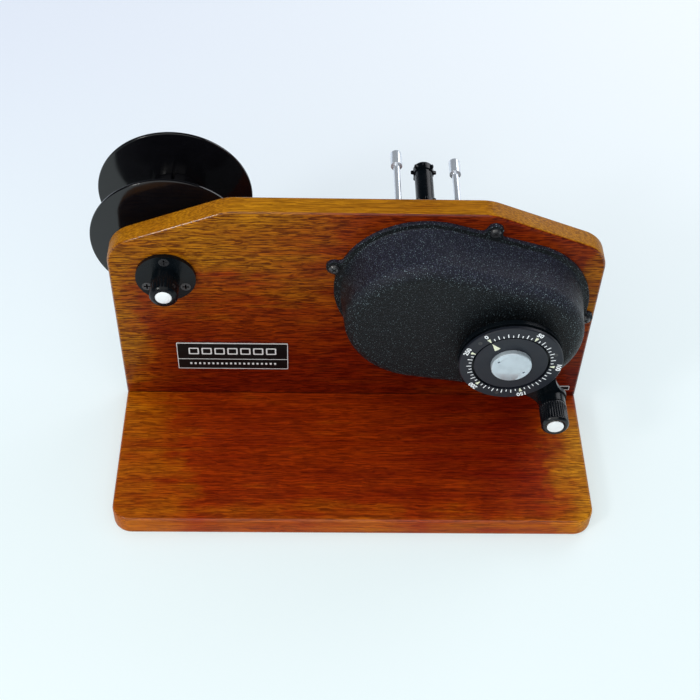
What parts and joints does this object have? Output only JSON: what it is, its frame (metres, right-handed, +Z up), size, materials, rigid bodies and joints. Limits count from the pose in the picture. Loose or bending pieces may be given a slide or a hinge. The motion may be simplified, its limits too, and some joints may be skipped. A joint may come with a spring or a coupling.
{
  "type": "bulk film loader",
  "caption": "Hand-cranked bulk film loader: an L-shaped wooden stand with a film reel, guide posts, film sprocket, closed gear case and a frame-counting dial on the crank.",
  "frame": {"origin": "on the underside of the base, on the stand's centre line, directly below the front face of the upright board", "axes": "+X to the right along the stand, +Y back through the upright board towards the reel, +Z up"},
  "size_m": [0.2833, 0.1713, 0.159],
  "materials": {
    "varnished_wood": "clear varnish over stained red-brown wood with fine horizontal grain, semi-gloss",
    "black_metal": "black anodised or enamelled metal, satin",
    "wrinkle_paint": "black wrinkle-texture stove enamel on a die-cast shell",
    "steel": "bright turned steel",
    "brass": "turned bearing brass",
    "gear_brass": "cut brass gear",
    "alloy": "satin turned aluminium",
    "chrome": "polished chrome plating",
    "felt": "pressed felt",
    "dark_screw": "blackened screw steel",
    "grip_plastic": "black moulded grip with fine lengthwise ridges",
    "label_metal": "black printed aluminium with a bare metal border",
    "reel_plastic": "glossy black moulded reel",
    "dial_black": "satin black dial metal with cream filled graduations",
    "cream_paint": "cream paint filled into the dial's engraved marks and numbers"
  },
  "bodies": {
    "frame": {"base_board": "varnished_wood", "back_board": "varnished_wood", "board_screws": "steel", "nameplate": "label_metal", "strip_label": "label_metal", "shaft_holder": "black_metal", "holder_screws": "dark_screw", "holder_set_screw": "dark_screw", "reel_shaft": "steel", "reel_spacer": "steel", "reel_washer": "steel", "reel_nut": "black_metal", "gear_plate": "alloy", "plate_screws": "steel", "gear_cover": "wrinkle_paint", "cover_screws": "dark_screw", "crank_bush": "brass", "counter_bush": "brass", "idler_stud": "steel", "idler_clip": "dark_screw", "sprocket_bush": "brass", "left_post": "chrome", "right_post": "chrome", "takeup_bush": "brass", "magazine_seat": "black_metal", "seat_screws": "dark_screw"},
    "reel": {"reel_hub": "reel_plastic", "reel_near_flange": "reel_plastic", "reel_far_flange": "reel_plastic", "reel_bush": "brass", "reel_screws": "dark_screw"},
    "crank": {"crank_arm": "black_metal", "crank_tube": "steel", "crank_gear": "gear_brass", "scale_ring": "dial_black", "ring_screws": "dark_screw", "handle_spindle": "steel"},
    "handle": {"handle_grip": "grip_plastic"},
    "pointer": {"counter_shaft": "steel", "counter_gear": "gear_brass", "pointer_disc": "dial_black", "cap_nut": "alloy"},
    "idler": {"idler_pinion": "steel", "idler_gear": "gear_brass"},
    "sprocket": {"sprocket_shaft": "steel", "sprocket_drum": "black_metal", "sprocket_gear": "gear_brass", "sprocket_clip": "dark_screw", "sprocket_end_screw": "dark_screw"},
    "takeup": {"takeup_spindle": "steel", "takeup_gear": "gear_brass", "clutch_disc": "felt", "clutch_spring": "steel", "takeup_clip": "dark_screw"}
  },
  "joints": [
    {"name": "reel_spin", "type": "hinge", "parent": "frame", "child": "reel", "pos_m": [-0.1039, 0, 0.1121], "axis": [0, 1, 0], "continuous": true},
    {"name": "crank_spin", "type": "hinge", "parent": "frame", "child": "crank", "pos_m": [0.0827, 0, 0.0924], "axis": [0, 1, 0], "continuous": true},
    {"name": "handle_spin", "type": "hinge", "parent": "crank", "child": "handle", "pos_m": [0.10951, 0, 0.05929], "axis": [0, 1, 0], "continuous": true},
    {"name": "pointer_spin", "type": "hinge", "parent": "frame", "child": "pointer", "pos_m": [0.0827, 0, 0.0924], "axis": [0, 1, 0], "continuous": true},
    {"name": "idler_spin", "type": "hinge", "parent": "frame", "child": "idler", "pos_m": [0.0452, 0, 0.1011], "axis": [0, 1, 0], "continuous": true},
    {"name": "sprocket_spin", "type": "hinge", "parent": "frame", "child": "sprocket", "pos_m": [0.0378, 0, 0.1348], "axis": [0, 1, 0], "continuous": true},
    {"name": "takeup_spin", "type": "hinge", "parent": "frame", "child": "takeup", "pos_m": [0.06644, 0, 0.07392], "axis": [0, 1, 0], "continuous": true}
  ],
  "couplings": [
    {"joint": "idler_spin", "follows": "crank_spin", "ratio": -2.6667},
    {"joint": "sprocket_spin", "follows": "crank_spin", "ratio": 5},
    {"joint": "takeup_spin", "follows": "crank_spin", "ratio": 5},
    {"joint": "pointer_spin", "follows": "crank_spin", "ratio": 1.0182}
  ]
}
